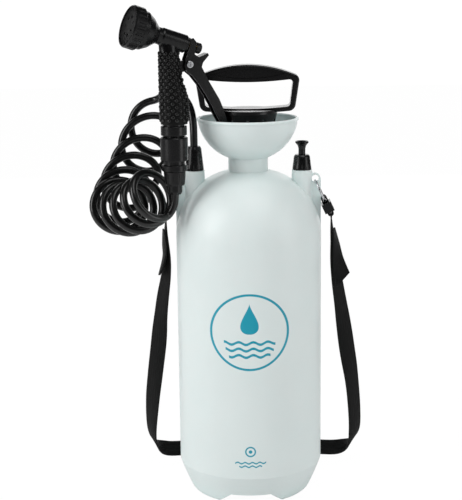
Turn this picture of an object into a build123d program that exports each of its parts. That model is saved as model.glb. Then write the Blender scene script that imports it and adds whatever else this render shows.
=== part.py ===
from build123d import *
from math import cos, pi, radians, sin, sqrt, tan
import os

os.makedirs("parts", exist_ok=True)

# Pump-up camping shower, in millimetres. The origin is on the floor at the tank's axis, +Z is up,
# +X is to the right and -Y is towards the viewer.

# Clearances
gap = 0.3                 # between parts that move past or sit beside each other
running = 0.08            # radial play of a pin in its hole
soft_gap = 0.4            # between a soft seal and what it slides along

# Tank, blow moulded in one piece with its funnel
tank_r = 90.0
tank_wall = 2.5
base_height = 40.0        # height of the drawn-in lower end
foot_inset = 17.0         # how far the lower end draws in
base_bulge = 0.9          # how far its side stands out from a straight cone
foot_height = 15.0
foot_corner = 5.0
channel_half_width = 24.5 # front channel, at its top
channel_slope = 17.0      # how much wider it is on each side at the floor
side_channel_half_width = 10.0
side_channel_slope = 9.0
foot_ring_r = 46.0
straight_height = 330.0   # where the straight side ends
shoulder_r = 80.0
neck_r = 24.5
neck_height = 16.4
bowl_r = 58.0
bowl_offset = 4.0         # the bowl's curve is centred this far off the axis
bowl_depth = 47.0
rim_bead_r = 2.0
boss_x = tank_r - 23.8
boss_r = 12.5
boss_height = 79.0        # above the straight side
ear_x = tank_r - 0.5
ear_drop = 4.0            # ear's top edge below the boss's top
ear_thickness = 6.0
ear_corner_r = 8.0
ear_hole_r = 4.5
ear_hole_inset = 7.0
spigot_r = 8.6
spigot_bore_r = 5.8

# Hose outlet on the left boss
outlet_spigot_height = 12.0
gasket_thickness = 1.2
nipple_flange = 2.3
nipple_stem_r = 5.4
nipple_stem_drop = 26.0
nipple_bore_r = 2.6
barb_r = 3.6
barb_height = 9.0
outlet_nut_r = 11.5
outlet_nut_top_r = 8.4
outlet_nut_height = 30.0
outlet_nut_ribs = 16
dip_tube_r = 4.0
dip_tube_bore_r = 2.8
strainer_r = 6.5
strainer_height = 20.0
strainer_clearance = 4.0
strainer_slots = 6

# Relief valve on the right boss
relief_spigot_height = 5.0
relief_bore_r = 4.2
relief_nut_r = 11.7
relief_nut_top_r = 9.9
relief_nut_height = 18.6
relief_nut_ribs = 16
relief_stem_r = 2.8
relief_neck_r = 4.3
relief_disc_r = 7.2
relief_disc_thickness = 2.0
relief_seal_thickness = 1.0
relief_knob_r = 8.4
relief_knob_rise = 16.5
relief_travel = 3.0
relief_spring_r = 5.0
relief_spring_wire = 0.5
relief_spring_turns = 4

# Pump
barrel_r = 17.0
barrel_wall = 2.0
barrel_length = 228.0
collar_r = neck_r - tank_wall - gap
collar_height = 14.0
flange_r = 26.0
flange_thickness = 3.0
seal_wire = 1.6
cap_r = 24.5
cap_height = 18.0
cap_ribs = 18
cap_lip = 3.0
guide_r = 9.0
guide_height = 12.0
rod_r = 6.0
rod_bore_r = 4.2
piston_height = 14.0
piston_lift = 12.0        # piston above the barrel's foot when the pump is down
piston_seal_wire = 1.6
foot_plate = 4.0
foot_port_r = 2.2
foot_ports = 6
flap_r = 12.0
flap_thickness = 1.2
pump_stroke = 170.0
unscrew_rise = 8.0

# Pump handle
handle_clearance = 8.9    # handle's base above the funnel's rim
handle_plate = 4.3
handle_height = 57.2
handle_half_width = 63.5
handle_foot_half_width = 57.2
handle_corner_r = 7.0
handle_depth = 26.0
handle_edge_r = 2.5
handle_arch = 14.6        # rise of the bar's top over its ends
bar_thickness = 20.7      # in the middle; the bar is a lens that thins to its ends
bar_sag = 3.6
plate_sag = 2.8
arm_thickness = 8.2
skirt_top_r = 36.3
skirt_bottom_r = 31.5
skirt_height = 23.0
skirt_wall = 3.0
skirt_slots = 10
skirt_slot_width = 4.0
skirt_slot_height = 15.0
handle_boss_r = 10.0
pin_r = 2.0
recess_half_width = 46.0
recess_height = 11.6
recess_depth = 1.6

# Spray gun, modelled in its own frame: X to the rear, Y away from the viewer, Z up
gun_x = -93.4
gun_y = -56.0
gun_drop = 331.5          # the gun's heights were taken with the straight side ending here
gun_yaw = 25.0
gun_lift = 60.0
barrel_tilt = 18.0
muzzle_z = 574.3          # the barrel's axis crosses the grip's axis at this height
rear_s = -24.0
barrel_front_s = 7.0
neck_s = 13.5
bell_s = 31.0
bell_end_s = 36.0
gun_barrel_r = 10.8
gun_neck_r = 10.0
bell_r = 22.6
bell_wall = 2.2
chamber_r = 6.6
valve_seat_s = 8.0
valve_port_r = 3.0
turret_s = 36.6
turret_length = 14.0
turret_r = 25.3
turret_wall = 3.2
turret_notches = 22
turret_notch_r = 1.9
face_thickness = 2.6
face_recess = 1.6
face_ring_holes = 20
face_hole_r = 0.9
grip_top_z = 558.0
grip_bottom_z = 474.0
grip_wall = 3.0
collar_z = 460.6
collar_top_z = 472.0
gun_collar_r = 15.6
inlet_u = 6.4
inlet_thread_r = 10.4
inlet_thread_length = 9.0
waterway_r = 4.4
pivot_u = 25.5
pivot_z = 543.6
pivot_boss_r = 5.2
pivot_web = 6.0
pivot_r = 2.5
screw_head_r = 4.3
screw_head_height = 2.2
lever_half_width = 6.5
lever_cheek = 2.3
lever_angle = 7.0
stem_r = 2.4
stem_head_r = 5.4
stem_head = 3.0
washer_r = 6.0
washer_thickness = 1.2
stem_ratio = 0.026        # metres of stem travel for one radian of lever
knob_r = 6.4
knob_length = 7.0
knob_s = -37.2
gland_length = 6.0
gun_spring_r = 3.9
gun_spring_wire = 0.6
gun_spring_turns = 5

# Quick connector, hose nut and ferrule under the grip
sleeve_r = 16.5
sleeve_top_z = 458.6
sleeve_bottom_z = 430.5
sleeve_lip_z = 450.0
sleeve_travel = 4.0
connector_r = 13.6
connector_top_z = 457.0
connector_seat_z = 432.5
connector_ring_r = 15.3
connector_ring_top_z = 425.8
connector_bottom_z = 418.2
connector_spring_wire = 0.4
connector_spring_turns = 5
tail_thread_r = 9.6
tail_thread_length = 12.0
hose_nut_r = 13.2
hose_nut_bottom_r = 12.2
hose_nut_bottom_z = 401.0
hose_nut_ribs = 12
ferrule_r = 8.8
ferrule_bottom_z = 390.0

# Hose
hose_r = 4.75
coil_r = 36.0             # outside of the curly part
coil_wall = 4.5           # of the hollow tube that stands for its turns
route_drop = 330.0        # the hose's places were taken with the straight side ending here
ring_turn_r = 31.0        # middle of the first loop, below the ferrule

# Carrying strap
strap_width = 20.0
strap_thickness = 1.8
ring_wire_r = 1.5
ring_r = 14.5
ring_slack = 0.9          # ring above the lower edge of its hole
webbing_slack = 0.6       # between a ring's wire and the webbing round it
slider_wall = 2.0
slider_height = 12.0


def rod(r, z0, z1, x=0.0, y=0.0):
    """Upright cylinder between two heights."""
    return Pos(x, y, z0) * Cylinder(r, z1 - z0, align=(Align.CENTER, Align.CENTER, Align.MIN))


def tube(r_out, r_in, z0, z1, x=0.0, y=0.0):
    """Upright tube between two heights."""
    return rod(r_out, z0, z1, x, y) - rod(r_in, z0 - 1, z1 + 1, x, y)


def turned(points, x=0.0, y=0.0):
    """Solid turned about an upright axis, from straight-sided radius and height points."""
    outline = make_face(Polyline(*points, close=True))
    return Pos(x, y, 0) * revolve(Plane.XZ * outline, Axis.Z)


def fluted(solid, count, r, width, z0, z1, x=0.0, y=0.0):
    """Shallow grip grooves cut round a solid."""
    cutter = rod(width, z0, z1, r)
    cutters = [Pos(x, y, 0) * Rot(0, 0, 360 * i / count) * cutter for i in range(count)]
    return solid - cutters


def spring(r, wire, turns, z0, z1, x=0.0, y=0.0):
    """Helical spring between two heights."""
    path = Helix((z1 - z0 - 2 * wire) / turns, z1 - z0 - 2 * wire, r)
    coil = sweep(Plane(path @ 0, z_dir=path % 0) * Circle(wire), path=path)
    return Pos(x, y, z0 + wire) * coil


def arc_between(cx, cz, r, start, end):
    """Arc about a centre in the radius and height plane, the short way from start to end."""
    mx = (start[0] + end[0]) / 2 - cx
    mz = (start[1] + end[1]) / 2 - cz
    k = r / sqrt(mx**2 + mz**2)
    return ThreePointArc(start, (cx + mx * k, cz + mz * k), end)


# Heights that follow from the tank's sizes
shoulder_centre_r = tank_r - shoulder_r
neck_base_z = straight_height + sqrt(shoulder_r**2 - (neck_r - shoulder_centre_r) ** 2)
neck_top_z = neck_base_z + neck_height
bowl_z = neck_top_z + sqrt(bowl_r**2 - (neck_r - bowl_offset) ** 2)
rim_z = neck_top_z + bowl_depth
boss_top_z = straight_height + boss_height
ear_top_z = boss_top_z - ear_drop
ear_hole_x = ear_x - ear_hole_inset
ear_hole_z = ear_top_z - ear_hole_inset
handle_base_z = rim_z + handle_clearance
handle_top_z = handle_base_z + handle_height
gun_z = straight_height - gun_drop
route_z = straight_height - route_drop


def flank(z):
    """Radius of the tank's drawn-in lower end at a height."""
    t = z / base_height
    return tank_r - foot_inset * (1 - t) + base_bulge * 4 * t * (1 - t)


def tank_body(inset, bottom):
    """The tank and its funnel as one turned solid, drawn in from the outside by a wall."""
    r = tank_r - inset
    n = neck_r - inset
    foot_r = flank(bottom) - inset
    edge_z = bottom + foot_corner
    edge_r = flank(edge_z) - inset
    half_way = (edge_z + base_height) / 2
    lower_end = [
        Line((0, bottom), (foot_r - foot_corner, bottom)),
        ThreePointArc((foot_r - foot_corner, bottom),
                      (foot_r - 0.22 * foot_corner, bottom + 0.28 * foot_corner), (edge_r, edge_z)),
        ThreePointArc((edge_r, edge_z), (flank(half_way) - inset, half_way), (r, base_height)),
    ]
    z_neck = straight_height + sqrt((shoulder_r - inset) ** 2 - (n - shoulder_centre_r) ** 2)
    z_bowl = bowl_z - sqrt((bowl_r - inset) ** 2 - (n - bowl_offset) ** 2)
    rim_r = bowl_offset + sqrt((bowl_r - inset) ** 2 - (bowl_z - rim_z) ** 2)
    outline = lower_end + ([
        Line((r, base_height), (r, straight_height)),
        arc_between(shoulder_centre_r, straight_height, shoulder_r - inset,
                    (r, straight_height), (n, z_neck)),
        Line((n, z_neck), (n, z_bowl)),
        arc_between(bowl_offset, bowl_z, bowl_r - inset, (n, z_bowl), (rim_r, rim_z)),
        Line((rim_r, rim_z), (rim_r, rim_z + inset)),
        Line((rim_r, rim_z + inset), (0, rim_z + inset)),
        Line((0, rim_z + inset), (0, bottom)),
    ] if inset else [
        Line((r, base_height), (r, straight_height)),
        arc_between(shoulder_centre_r, straight_height, shoulder_r,
                    (r, straight_height), (n, z_neck)),
        Line((n, z_neck), (n, z_bowl)),
        arc_between(bowl_offset, bowl_z, bowl_r, (n, z_bowl), (rim_r, rim_z)),
        Line((rim_r, rim_z), (0, rim_z)),
        Line((0, rim_z), (0, bottom)),
    ])
    return revolve(Plane.XZ * make_face(outline), Axis.Z)


def channel(length, half_width, slope):
    """One drainage channel across the tank's base, with sloping sides."""
    low = half_width + slope * (foot_height + 1) / foot_height
    side = Polyline((-low, -1), (low, -1), (half_width, foot_height), (-half_width, foot_height),
                    close=True)
    return extrude(Plane.XZ * make_face(side), length, both=True)


def ear(side):
    """Flat web in the parting plane that fills the corner outside a boss and carries a ring."""
    inner = boss_x - boss_r
    width = ear_x - inner
    height = ear_top_z - straight_height
    plate = Pos(side * (inner + width / 2), 0, straight_height + height / 2) * Box(
        width, ear_thickness, height)
    corner = plate.edges().filter_by(Axis.Y).sort_by(lambda e: side * e.center().X + e.center().Z)[-1]
    plate = fillet(corner, ear_corner_r)
    hole = Pos(side * ear_hole_x, 0, ear_hole_z) * Rot(90, 0, 0) * Cylinder(ear_hole_r, 3 * ear_thickness)
    return plate - hole


def boss(x, spigot_height, bore):
    """Round boss with a plain spigot, for the hose outlet or the relief valve."""
    solid = rod(boss_r, straight_height + shoulder_r / 2, boss_top_z, x)
    solid += rod(spigot_r, boss_top_z, boss_top_z + spigot_height, x)
    hollow = rod(boss_r - tank_wall, straight_height, boss_top_z - tank_wall, x)
    hollow += rod(bore, boss_top_z - 2 * tank_wall, boss_top_z + spigot_height + 1, x)
    return solid, hollow


def make_tank():
    """Hollow tank with feet, bosses, ears and the funnel."""
    between_feet = channel(2 * tank_r, channel_half_width, channel_slope)
    between_feet += Rot(0, 0, 90) * channel(2 * tank_r, side_channel_half_width, side_channel_slope)
    between_feet += rod(foot_ring_r, -1, foot_height)
    shell = tank_body(0, 0) - between_feet
    shell -= tank_body(tank_wall, foot_height + tank_wall)
    shell += Pos(0, 0, rim_z) * Torus(bowl_offset + sqrt(bowl_r**2 - (bowl_z - rim_z) ** 2) - 1,
                                      rim_bead_r)
    inside = tank_body(tank_wall, foot_height + tank_wall)
    for side in (-1, 1):
        shell += ear(side) - inside
    outlet, outlet_hollow = boss(-boss_x, outlet_spigot_height, spigot_bore_r)
    relief, relief_hollow = boss(boss_x, relief_spigot_height, relief_bore_r)
    shell += outlet - inside
    shell += relief - inside
    return shell - outlet_hollow - relief_hollow


tank = make_tank()

# Hose outlet
outlet_top_z = boss_top_z + outlet_spigot_height
outlet_gasket = tube(spigot_r - gap, nipple_stem_r + gap, outlet_top_z,
                     outlet_top_z + gasket_thickness, -boss_x)
nipple_z = outlet_top_z + gasket_thickness
nipple_top_z = nipple_z + nipple_flange + barb_height
outlet_nipple = rod(nipple_stem_r, nipple_z - nipple_stem_drop, nipple_z, -boss_x)
outlet_nipple += rod(spigot_r - gap, nipple_z, nipple_z + nipple_flange, -boss_x)
outlet_nipple += turned([(0, nipple_z), (barb_r, nipple_z), (barb_r, nipple_top_z - 3),
                         (barb_r - 1, nipple_top_z), (0, nipple_top_z)], -boss_x)
outlet_nipple -= rod(nipple_bore_r, nipple_z - nipple_stem_drop - 1, nipple_top_z + 1, -boss_x)
dip_top_z = nipple_z - nipple_stem_drop
outlet_nipple -= rod(dip_tube_r, dip_top_z - 1, dip_top_z + 10, -boss_x)

nut_z = boss_top_z + gap
nut_top_z = boss_top_z + outlet_nut_height
nut_wall_z = nipple_z + nipple_flange + gap
outlet_nut = turned([(0, nut_z), (outlet_nut_r, nut_z), (outlet_nut_r, nut_z + 3),
                     (outlet_nut_top_r + 0.6, nut_top_z - 3), (outlet_nut_top_r - 1, nut_top_z),
                     (0, nut_top_z)], -boss_x)
outlet_nut -= rod(spigot_r + gap, nut_z - 1, nut_wall_z, -boss_x)
outlet_nut -= rod(hose_r + gap, nut_z, nut_top_z + 1, -boss_x)
outlet_nut = fluted(outlet_nut, outlet_nut_ribs, outlet_nut_r + 0.5, 1.1, nut_z - 1, nut_top_z - 4,
                    -boss_x)

strainer_z = foot_height + tank_wall + strainer_clearance
dip_bottom_z = strainer_z + 4
dip_tube = tube(dip_tube_r - 0.02, dip_tube_bore_r, dip_bottom_z, dip_top_z + 10, -boss_x)
dip_strainer = tube(strainer_r, strainer_r - 1.6, strainer_z, strainer_z + strainer_height, -boss_x)
dip_strainer += tube(strainer_r, dip_tube_r, strainer_z + strainer_height - 4,
                     strainer_z + strainer_height, -boss_x)
dip_strainer += rod(strainer_r, strainer_z, strainer_z + 2, -boss_x)
slot_cut = Pos(strainer_r, 0, strainer_z + strainer_height / 2 - 1) * Box(4, 2, strainer_height - 9)
dip_strainer -= [Pos(-boss_x, 0, 0) * Rot(0, 0, 360 * i / strainer_slots) * slot_cut
                 for i in range(strainer_slots)]

# Relief valve
relief_top_z = boss_top_z + relief_spigot_height
seal_z = relief_top_z + gap
disc_z = seal_z + relief_seal_thickness
spring_z = disc_z + relief_disc_thickness
relief_nut_top_z = boss_top_z + relief_nut_height
ceiling_z = relief_nut_top_z - 3.0
relief_seal = tube(relief_disc_r - 0.4, relief_bore_r - 0.6, seal_z, disc_z, boss_x)
relief_nut = turned([(0, nut_z), (relief_nut_r, nut_z), (relief_nut_r, nut_z + 2),
                     (relief_nut_top_r, relief_nut_top_z - 2),
                     (relief_nut_top_r - 1.5, relief_nut_top_z), (0, relief_nut_top_z)], boss_x)
relief_nut -= rod(spigot_r + gap, nut_z - 1, ceiling_z, boss_x)
relief_nut -= rod(relief_neck_r + gap, ceiling_z - 1, relief_nut_top_z + 1, boss_x)
relief_nut = fluted(relief_nut, relief_nut_ribs, relief_nut_r + 0.4, 1.1, nut_z - 1,
                    relief_nut_top_z - 3, boss_x)
knob_top_z = relief_nut_top_z + relief_knob_rise
relief_knob = turned([(0, seal_z - 8), (relief_bore_r - 0.9, seal_z - 8),
                      (relief_bore_r - 0.9, disc_z), (relief_disc_r, disc_z),
                      (relief_disc_r, spring_z), (relief_stem_r, spring_z),
                      (relief_stem_r, ceiling_z - 0.5), (relief_neck_r, ceiling_z + 0.5),
                      (relief_neck_r, knob_top_z - 9), (relief_neck_r + 0.9, knob_top_z - 5.5),
                      (relief_knob_r - 1.2, knob_top_z - 3), (relief_knob_r, knob_top_z - 1.8),
                      (relief_knob_r - 0.5, knob_top_z), (relief_knob_r - 2.2, knob_top_z - 0.6),
                      (3.0, knob_top_z - 2.6), (0, knob_top_z - 3.0)], boss_x)
relief_spring = spring(relief_spring_r, relief_spring_wire, relief_spring_turns,
                       spring_z + 0.02, ceiling_z - 0.02, boss_x)

# Pump
ring_seal_r = neck_r - tank_wall + seal_wire + 0.6
seal_drop = sqrt((bowl_r - tank_wall - seal_wire - 0.25) ** 2 - (ring_seal_r - bowl_offset) ** 2)
pump_o_ring = Pos(0, 0, bowl_z - seal_drop) * Torus(ring_seal_r, seal_wire)

flange_z = bowl_z - seal_drop + seal_wire + 0.02
flange_top_z = flange_z + flange_thickness
barrel_bottom_z = flange_top_z - barrel_length
barrel_bore_r = barrel_r - barrel_wall
pump_barrel = rod(barrel_r, barrel_bottom_z, flange_z)
pump_barrel += turned([(0, flange_z - collar_height), (collar_r - 1.2, flange_z - collar_height),
                       (collar_r, flange_z - collar_height + 1.2), (collar_r, flange_z - 3.4),
                       (collar_r - 0.8, flange_z - 2.6), (collar_r - 0.8, flange_z),
                       (flange_r, flange_z), (flange_r, flange_top_z), (0, flange_top_z)])
pump_barrel -= rod(barrel_bore_r, barrel_bottom_z - 1, flange_top_z + 1)

cap_z = flange_top_z
pump_cap = rod(cap_r, cap_z, cap_z + cap_height)
pump_cap = fillet(pump_cap.edges().group_by(Axis.Z)[-1], 2.0)
pump_cap -= rod(barrel_r + gap, cap_z - 1, cap_z + cap_height - cap_lip - guide_height)
pump_cap -= rod(guide_r + gap, cap_z - 1, cap_z + cap_height - cap_lip)
pump_cap -= rod(rod_r + 1.0, cap_z, cap_z + cap_height + 1)
pump_cap = fluted(pump_cap, cap_ribs, cap_r + 0.8, 2.0, cap_z - 1, cap_z + cap_height - 5)
guide_top_z = cap_z + cap_height - cap_lip
rod_guide = tube(guide_r, rod_r + running, guide_top_z - guide_height + gap, guide_top_z)

barrel_foot = rod(barrel_bore_r, barrel_bottom_z, barrel_bottom_z + foot_plate)
barrel_foot += rod(barrel_r, barrel_bottom_z - foot_plate, barrel_bottom_z)
barrel_foot += rod(2.0, barrel_bottom_z - foot_plate - 3.4, barrel_bottom_z - foot_plate)
port = rod(foot_port_r, barrel_bottom_z - foot_plate - 1, barrel_bottom_z + foot_plate + 1,
           barrel_bore_r / 2)
barrel_foot -= [Rot(0, 0, 360 * i / foot_ports) * port for i in range(foot_ports)]
foot_valve_flap = tube(flap_r, 2.0, barrel_bottom_z - foot_plate - flap_thickness,
                       barrel_bottom_z - foot_plate)

piston_z = barrel_bottom_z + foot_plate + piston_lift
piston_top_z = piston_z + piston_height
piston_r = barrel_bore_r - soft_gap - 0.6
piston = rod(piston_r, piston_z, piston_top_z)
groove_z = piston_z + piston_height / 2
groove_r = barrel_bore_r - soft_gap - 2 * piston_seal_wire
piston -= (rod(piston_r + 1, groove_z - piston_seal_wire - 0.05, groove_z + piston_seal_wire + 0.05)
           - rod(groove_r - 0.05, groove_z - 5, groove_z + 5))
piston -= rod(rod_r - 1, piston_top_z - 8, piston_top_z + 1)
piston_ring = Pos(0, 0, groove_z) * Torus(barrel_bore_r - soft_gap - piston_seal_wire,
                                          piston_seal_wire)

rod_top_z = handle_base_z - 3
plunger_rod = rod(rod_r, piston_top_z, rod_top_z) + rod(rod_r - 1, piston_top_z - 8, piston_top_z)
plunger_rod -= rod(rod_bore_r - 1, piston_top_z - 9, rod_top_z - 14)


def make_handle():
    """D-shaped pump handle with the slotted skirt that comes down over the pump's cap."""
    top = handle_top_z
    base = handle_base_z
    end = top - handle_arch
    bar_z = top - bar_thickness
    outline = make_face([
        ThreePointArc((-handle_half_width, end), (0, top), (handle_half_width, end)),
        Line((handle_half_width, end), (handle_foot_half_width, base + 1.8)),
        Line((handle_foot_half_width, base + 1.8), (skirt_top_r - 1, base)),
        Line((skirt_top_r - 1, base), (1 - skirt_top_r, base)),
        Line((1 - skirt_top_r, base), (-handle_foot_half_width, base + 1.8)),
        Line((-handle_foot_half_width, base + 1.8), (-handle_half_width, end)),
    ])
    outline = fillet(outline.vertices().group_by(Axis.Y)[-1], handle_corner_r)
    low_corners = [v for v in outline.vertices() if abs(abs(v.X) - handle_foot_half_width) < 0.1]
    outline = fillet(low_corners, handle_corner_r + 2)
    frame = extrude(Plane.XZ * outline, handle_depth / 2, both=True)
    faces = [e for e in frame.edges() if abs(abs(e.center().Y) - handle_depth / 2) < 0.01
             and e.center().Z > base + 0.5]
    frame = fillet(faces, handle_edge_r)
    upper = handle_half_width - arm_thickness
    lower = handle_foot_half_width - arm_thickness + 2
    window = make_face([
        ThreePointArc((-upper, bar_z + bar_sag), (0, bar_z), (upper, bar_z + bar_sag)),
        Line((upper, bar_z + bar_sag), (lower, base + handle_plate + plate_sag)),
        ThreePointArc((lower, base + handle_plate + plate_sag), (0, base + handle_plate),
                      (-lower, base + handle_plate + plate_sag)),
        Line((-lower, base + handle_plate + plate_sag), (-upper, bar_z + bar_sag)),
    ])
    window = fillet(window.vertices(), 4.0)
    frame -= extrude(Plane.XZ * window, handle_depth, both=True)
    skirt = turned([(0, base - 1), (skirt_top_r, base - 1), (skirt_top_r, base + 3), (0, base + 3)])
    skirt += turned([(skirt_bottom_r - skirt_wall, base - skirt_height),
                     (skirt_bottom_r, base - skirt_height), (skirt_top_r, base),
                     (skirt_top_r - skirt_wall, base)])
    slot = Pos(skirt_bottom_r, 0, base - skirt_height + skirt_slot_height / 2 - 0.5) * Box(
        16, skirt_slot_width, skirt_slot_height + 1)
    turn = 360 / skirt_slots
    skirt -= [Rot(0, 0, turn * (i + 0.5)) * slot for i in range(skirt_slots)]
    hub = rod(handle_boss_r, rod_top_z - 14, base)
    hub -= rod(rod_r + 0.05, rod_top_z - 15, rod_top_z + 0.05)
    lens = make_face([ThreePointArc((-recess_half_width, 0), (0, recess_height / 2), (recess_half_width, 0)),
                      ThreePointArc((recess_half_width, 0), (0, -recess_height / 2),
                                    (-recess_half_width, 0))])
    dent = extrude(Plane.XZ * Pos(0, top - bar_thickness / 2 - 0.4) * lens, recess_depth, both=True)
    handle = frame + skirt + hub
    for side in (-1, 1):
        handle -= Pos(0, side * handle_depth / 2, 0) * dent
    return handle


pin_z = rod_top_z - 7
pin_bore = Pos(0, 0, pin_z) * Rot(90, 0, 0) * Cylinder(pin_r + 0.02, 3 * handle_boss_r)
pump_handle = make_handle() - pin_bore
plunger_rod -= pin_bore
handle_pin = Pos(0, 0, pin_z) * Rot(90, 0, 0) * Cylinder(pin_r, 2 * handle_boss_r - 0.6)

# Frames of the spray gun: the whole gun, and its barrel with Z towards the nozzle
gun = Location((gun_x, gun_y, gun_z), (0, 0, gun_yaw))
tilt = radians(barrel_tilt)
muzzle = Plane(origin=(0, 0, muzzle_z), x_dir=(0, 1, 0), z_dir=(-cos(tilt), 0, sin(tilt))).location


def axis_z(u):
    """Height of the barrel's axis at a place along the gun."""
    return muzzle_z - u * tan(tilt)


def grip_section(z, centre, half_length, half_width):
    """Oval section of the grip."""
    return Pos(centre, 0, z) * Ellipse(half_length, half_width)


grip_stations = [  # height, centre, half length and half width of the outside of the grip
    (grip_top_z, 1.9, 11.6, 11.0),
    (540.0, 2.6, 12.3, 11.8),
    (521.0, 4.6, 14.3, 13.0),
    (503.0, 7.2, 16.8, 14.4),
    (488.0, 7.6, 17.1, 14.8),
    (grip_bottom_z, 7.0, 16.0, 14.6),
]


def make_gun_body():
    """Barrel, bell, grip core, pivot web and threaded inlet, in one moulding."""
    shape = turned([(0, rear_s), (gun_barrel_r - 1, rear_s), (gun_barrel_r, rear_s + 1),
                    (gun_barrel_r, barrel_front_s), (gun_neck_r, barrel_front_s + 2),
                    (gun_neck_r, neck_s), (gun_neck_r + 2.5, neck_s + 3), (bell_r - 4.5, bell_s - 8),
                    (bell_r, bell_s), (bell_r, bell_end_s), (0, bell_end_s)])
    bell_hollow = turned([(valve_port_r, neck_s), (gun_neck_r, neck_s + 5),
                          (bell_r - bell_wall - 3.5, bell_s - 6), (bell_r - bell_wall, bell_s),
                          (bell_r - bell_wall, bell_end_s + 1), (0, bell_end_s + 1), (0, neck_s)])
    core = loft([grip_section(z, c, a - grip_wall, b - grip_wall) for z, c, a, b in grip_stations])
    head = loft([grip_section(grip_top_z, 1.9, 11.6, 10.4),
                 grip_section(axis_z(0) - 4, 1.9, 12.2, 8.0)])
    collar = rod(gun_collar_r, collar_z, collar_top_z, inlet_u)
    collar = fillet(collar.edges().group_by(Axis.Z)[0] + collar.edges().group_by(Axis.Z)[-1], 1.2)
    web = make_face(Polyline((4, pivot_z + 3), (pivot_u, pivot_z + pivot_boss_r),
                             (pivot_u, pivot_z - pivot_boss_r), (10, pivot_z - 13), (4, pivot_z - 13),
                             close=True))
    pivot = extrude(Plane.XZ * web, pivot_web / 2, both=True)
    pivot += Pos(pivot_u, 0, pivot_z) * Rot(90, 0, 0) * Cylinder(pivot_boss_r, pivot_web)
    solid = muzzle * shape + core + head + collar + pivot
    solid += rod(gun_collar_r - 3, collar_top_z, grip_bottom_z + 2, inlet_u)
    solid += rod(inlet_thread_r, collar_z - inlet_thread_length, collar_z, inlet_u)
    chamber = rod(chamber_r, rear_s + gland_length, valve_seat_s)
    chamber += rod(chamber_r + 1.4, rear_s - 1, rear_s + gland_length)
    chamber += rod(valve_port_r, valve_seat_s - 1, neck_s + 1)
    solid -= muzzle * (bell_hollow + chamber)
    solid -= rod(waterway_r, collar_z - inlet_thread_length - 1, axis_z(inlet_u) - 3, inlet_u - 1)
    solid -= Pos(pivot_u, 0, pivot_z) * Rot(90, 0, 0) * Cylinder(pivot_r + running, 40)
    return solid


def make_grip_sleeve():
    """Rubber sleeve round the grip's core, open at both ends for the core and the pivot web."""
    outer = loft([grip_section(z, c, a, b) for z, c, a, b in grip_stations])
    inner = loft([grip_section(z, c, a - grip_wall + 0.02, b - grip_wall + 0.02)
                  for z, c, a, b in grip_stations])
    slit = Pos(pivot_u, 0, pivot_z - 5) * Box(2 * pivot_u, pivot_web + 0.3, 40)
    return outer - inner - rod(gun_collar_r - 3 + 0.02, 470, grip_bottom_z + 2.02, inlet_u) - slit


lever_outline = [
    (27.6, 573.0), (31.0, 573.8), (34.6, 569.4), (33.2, 560.0), (32.3, 555.0), (37.5, 551.6),
    (49.0, 556.0), (50.4, 553.4), (42.6, 545.0), (41.0, 540.0), (49.0, 524.5), (56.5, 512.0),
    (63.2, 501.0), (68.3, 489.0), (72.0, 478.0), (73.0, 470.0), (71.5, 466.0), (68.5, 465.6),
    (66.5, 469.5), (62.6, 476.0), (58.0, 484.0), (54.0, 493.0), (46.6, 506.0), (38.3, 518.6),
    (29.5, 529.5), (21.0, 536.4), (18.9, 541.6), (21.2, 549.6), (26.0, 562.0),
]


def make_lever():
    """Trigger lever, a channel open towards the grip, with a fork round the valve stem."""
    side = make_face(Polyline(*lever_outline, close=True))
    solid = extrude(Plane.XZ * side, lever_half_width, both=True)
    inner = offset(side, -lever_cheek)
    hollow = extrude(Plane.XZ * inner, lever_half_width - lever_cheek, both=True)
    towards_grip = [Pos(-k, 0, -k * 0.55) * hollow for k in (0, 2.0, 4.0)]
    solid -= towards_grip
    fork = Pos(pivot_u + 5, 0, pivot_z + 24) * Box(30, 2 * stem_r + 1.2, 26)
    web_room = Pos(pivot_u - 4, 0, pivot_z) * Box(22, pivot_web + 1.0, 34)
    hole = Pos(pivot_u, 0, pivot_z) * Rot(90, 0, 0) * Cylinder(pivot_r + running, 40)
    return solid - fork - web_room - hole


gun_body = gun * make_gun_body()
grip_sleeve = gun * make_grip_sleeve()
trigger_lever = gun * make_lever()

# Pivot screw and its nut
screw = Rot(90, 0, 0) * Cylinder(pivot_r, 2 * lever_half_width + 0.4)
head = Rot(90, 0, 0) * Cylinder(screw_head_r, screw_head_height)
head = fillet(head.edges().group_by(Axis.Y)[0], 1.0)
screw += Pos(0, -lever_half_width - 0.2 - screw_head_height / 2, 0) * head
screw -= Pos(0, -lever_half_width - 0.2 - screw_head_height, 0) * Box(1.1, 1.6, 6)
pivot_screw = gun * Pos(pivot_u, 0, pivot_z) * screw
nut = Rot(90, 0, 0) * extrude(RegularPolygon(screw_head_r, 6), 3.0)
pivot_nut = gun * Pos(pivot_u, lever_half_width + 0.2 + 3.0, pivot_z) * nut

# Valve stem and its gland, washer, spring and knob, along the barrel
stem_head_s = valve_seat_s - gap - washer_thickness - stem_head
gland_nut = gun * muzzle * (tube(chamber_r + 1.4, stem_r + running, rear_s, rear_s + gland_length)
                            + tube(gun_barrel_r - 1.6, stem_r + running, rear_s - 1.5, rear_s))
stem = rod(stem_r, knob_s - knob_length + 0.5, stem_head_s)
stem += rod(stem_head_r, stem_head_s, stem_head_s + stem_head)
stem += rod(1.2, stem_head_s + stem_head, stem_head_s + stem_head + washer_thickness)
valve_stem = gun * muzzle * stem
valve_washer = gun * muzzle * tube(washer_r, 1.2, stem_head_s + stem_head,
                                   stem_head_s + stem_head + washer_thickness)
gun_spring_length = stem_head_s - (rear_s + gland_length) - 1000 * stem_ratio * radians(lever_angle) - 0.6
valve_spring = gun * muzzle * spring(gun_spring_r, gun_spring_wire, gun_spring_turns,
                                     stem_head_s - gun_spring_length, stem_head_s - 0.02)
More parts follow.
